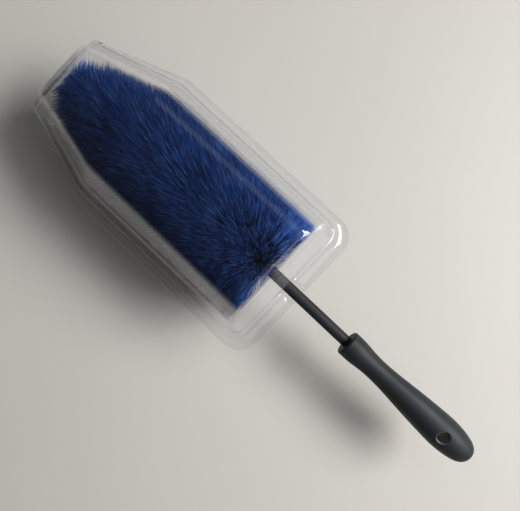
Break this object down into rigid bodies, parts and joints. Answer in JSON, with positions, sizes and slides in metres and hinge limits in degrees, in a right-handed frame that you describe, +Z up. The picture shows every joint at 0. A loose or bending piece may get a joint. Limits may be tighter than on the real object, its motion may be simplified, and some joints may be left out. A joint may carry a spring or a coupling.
{
  "type": "wheel brush",
  "caption": "Soft round wheel brush with a twisted wire stem, black sleeve and moulded handle, lying in a clear folding cover that hinges open at the tip.",
  "frame": {"origin": "centre of the whole object's footprint, on the surface that the cover lies on", "axes": "+X along the brush axis from the bristle tip to the handle, +Y across, +Z up"},
  "size_m": [0.4484, 0.1366, 0.104],
  "materials": {
    "clear_sheet": "gloss",
    "bristle_fibre": "matte",
    "stem_steel": "satin",
    "cap_rubber": "matte",
    "sleeve_vinyl": "satin",
    "anchor_metal": "satin",
    "core_plastic": "matte",
    "grip_rubber": "matte"
  },
  "bodies": {
    "cover_base": {"cover_lower_shell": "clear_sheet", "cover_fold": "clear_sheet"},
    "cover_lid": {"cover_upper_shell": "clear_sheet"},
    "brush": {"bristles": "bristle_fibre", "stem_wire_a": "stem_steel", "stem_wire_b": "stem_steel", "tip_cap": "cap_rubber", "stem_sleeve": "sleeve_vinyl", "stem_anchor": "anchor_metal", "handle_core": "core_plastic", "handle_grip": "grip_rubber"}
  },
  "joints": [
    {"name": "lid_open", "type": "hinge", "parent": "cover_base", "child": "cover_lid", "pos_m": [-0.22382, 0, 0.052], "axis": [0, -1, 0], "range_deg": [0, 178]},
    {"name": "brush_lift", "type": "slide", "parent": "cover_base", "child": "brush", "axis": [0, 0, 1], "range_m": [0, 0.094]}
  ],
  "couplings": [
    {"joint": "brush_lift", "follows": "lid_open", "m_per_rad": 0.03}
  ]
}
